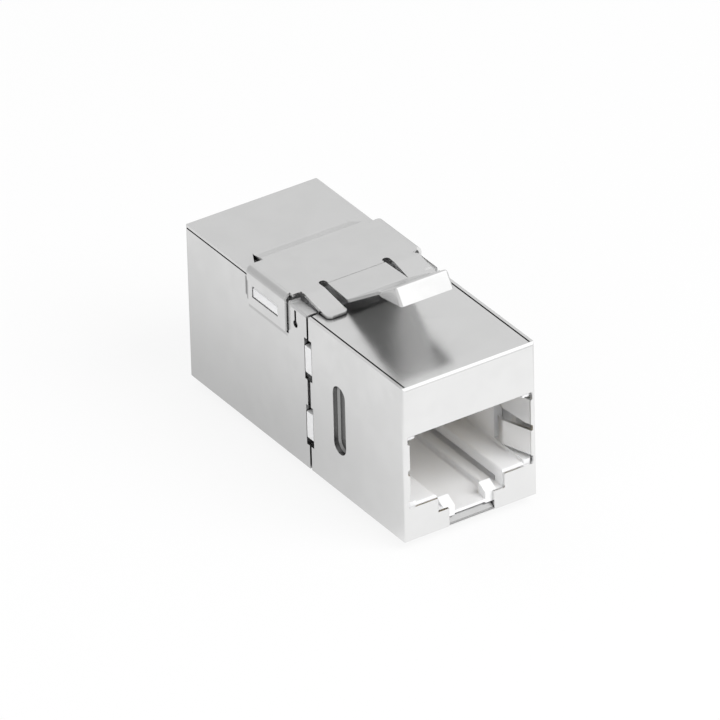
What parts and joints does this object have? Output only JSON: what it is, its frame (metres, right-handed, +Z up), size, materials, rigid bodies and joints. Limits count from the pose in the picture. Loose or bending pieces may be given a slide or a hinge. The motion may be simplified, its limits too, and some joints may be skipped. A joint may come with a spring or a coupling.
{
  "type": "ethernet inline coupler",
  "caption": "Shielded in-line coupler for modular network plugs: a folded sheet-metal box with a port at each end and a spring latch on top for a keystone opening.",
  "frame": {"origin": "middle of the body in plan, at the height of the lowest point, the tip of the fixed catch; the flat underside of the shell lies 1.0 mm higher", "axes": "+X across the body, +Y from the front port face to the rear port face, +Z up, towards the spring latch"},
  "size_m": [0.0152, 0.0364, 0.0229],
  "materials": {
    "shell_steel": "satin tinned steel sheet, fine brushed grain",
    "latch_steel": "satin tinned spring steel",
    "housing_plastic": "white moulded plastic, low sheen",
    "carrier_plastic": "off-white moulded plastic",
    "board_laminate": "green glass-fibre laminate",
    "contact_gold": "gold-plated spring wire"
  },
  "bodies": {
    "body": {"front_shell": "shell_steel", "rear_shell": "shell_steel", "front_housing": "housing_plastic", "rear_housing": "housing_plastic", "front_contact_carrier": "carrier_plastic", "rear_contact_carrier": "carrier_plastic", "circuit_board": "board_laminate", "front_contact_1": "contact_gold", "front_contact_2": "contact_gold", "front_contact_3": "contact_gold", "front_contact_4": "contact_gold", "front_contact_5": "contact_gold", "front_contact_6": "contact_gold", "front_contact_7": "contact_gold", "front_contact_8": "contact_gold", "rear_contact_1": "contact_gold", "rear_contact_2": "contact_gold", "rear_contact_3": "contact_gold", "rear_contact_4": "contact_gold", "rear_contact_5": "contact_gold", "rear_contact_6": "contact_gold", "rear_contact_7": "contact_gold", "rear_contact_8": "contact_gold"},
    "latch": {"latch_tongue": "latch_steel"}
  },
  "joints": [
    {"name": "latch_press", "type": "hinge", "parent": "body", "child": "latch", "pos_m": [0, 0.0002, 0.0182], "axis": [1, 0, 0], "range_deg": [0, 9.5], "stiffness_Nm_per_rad": 0.05}
  ]
}
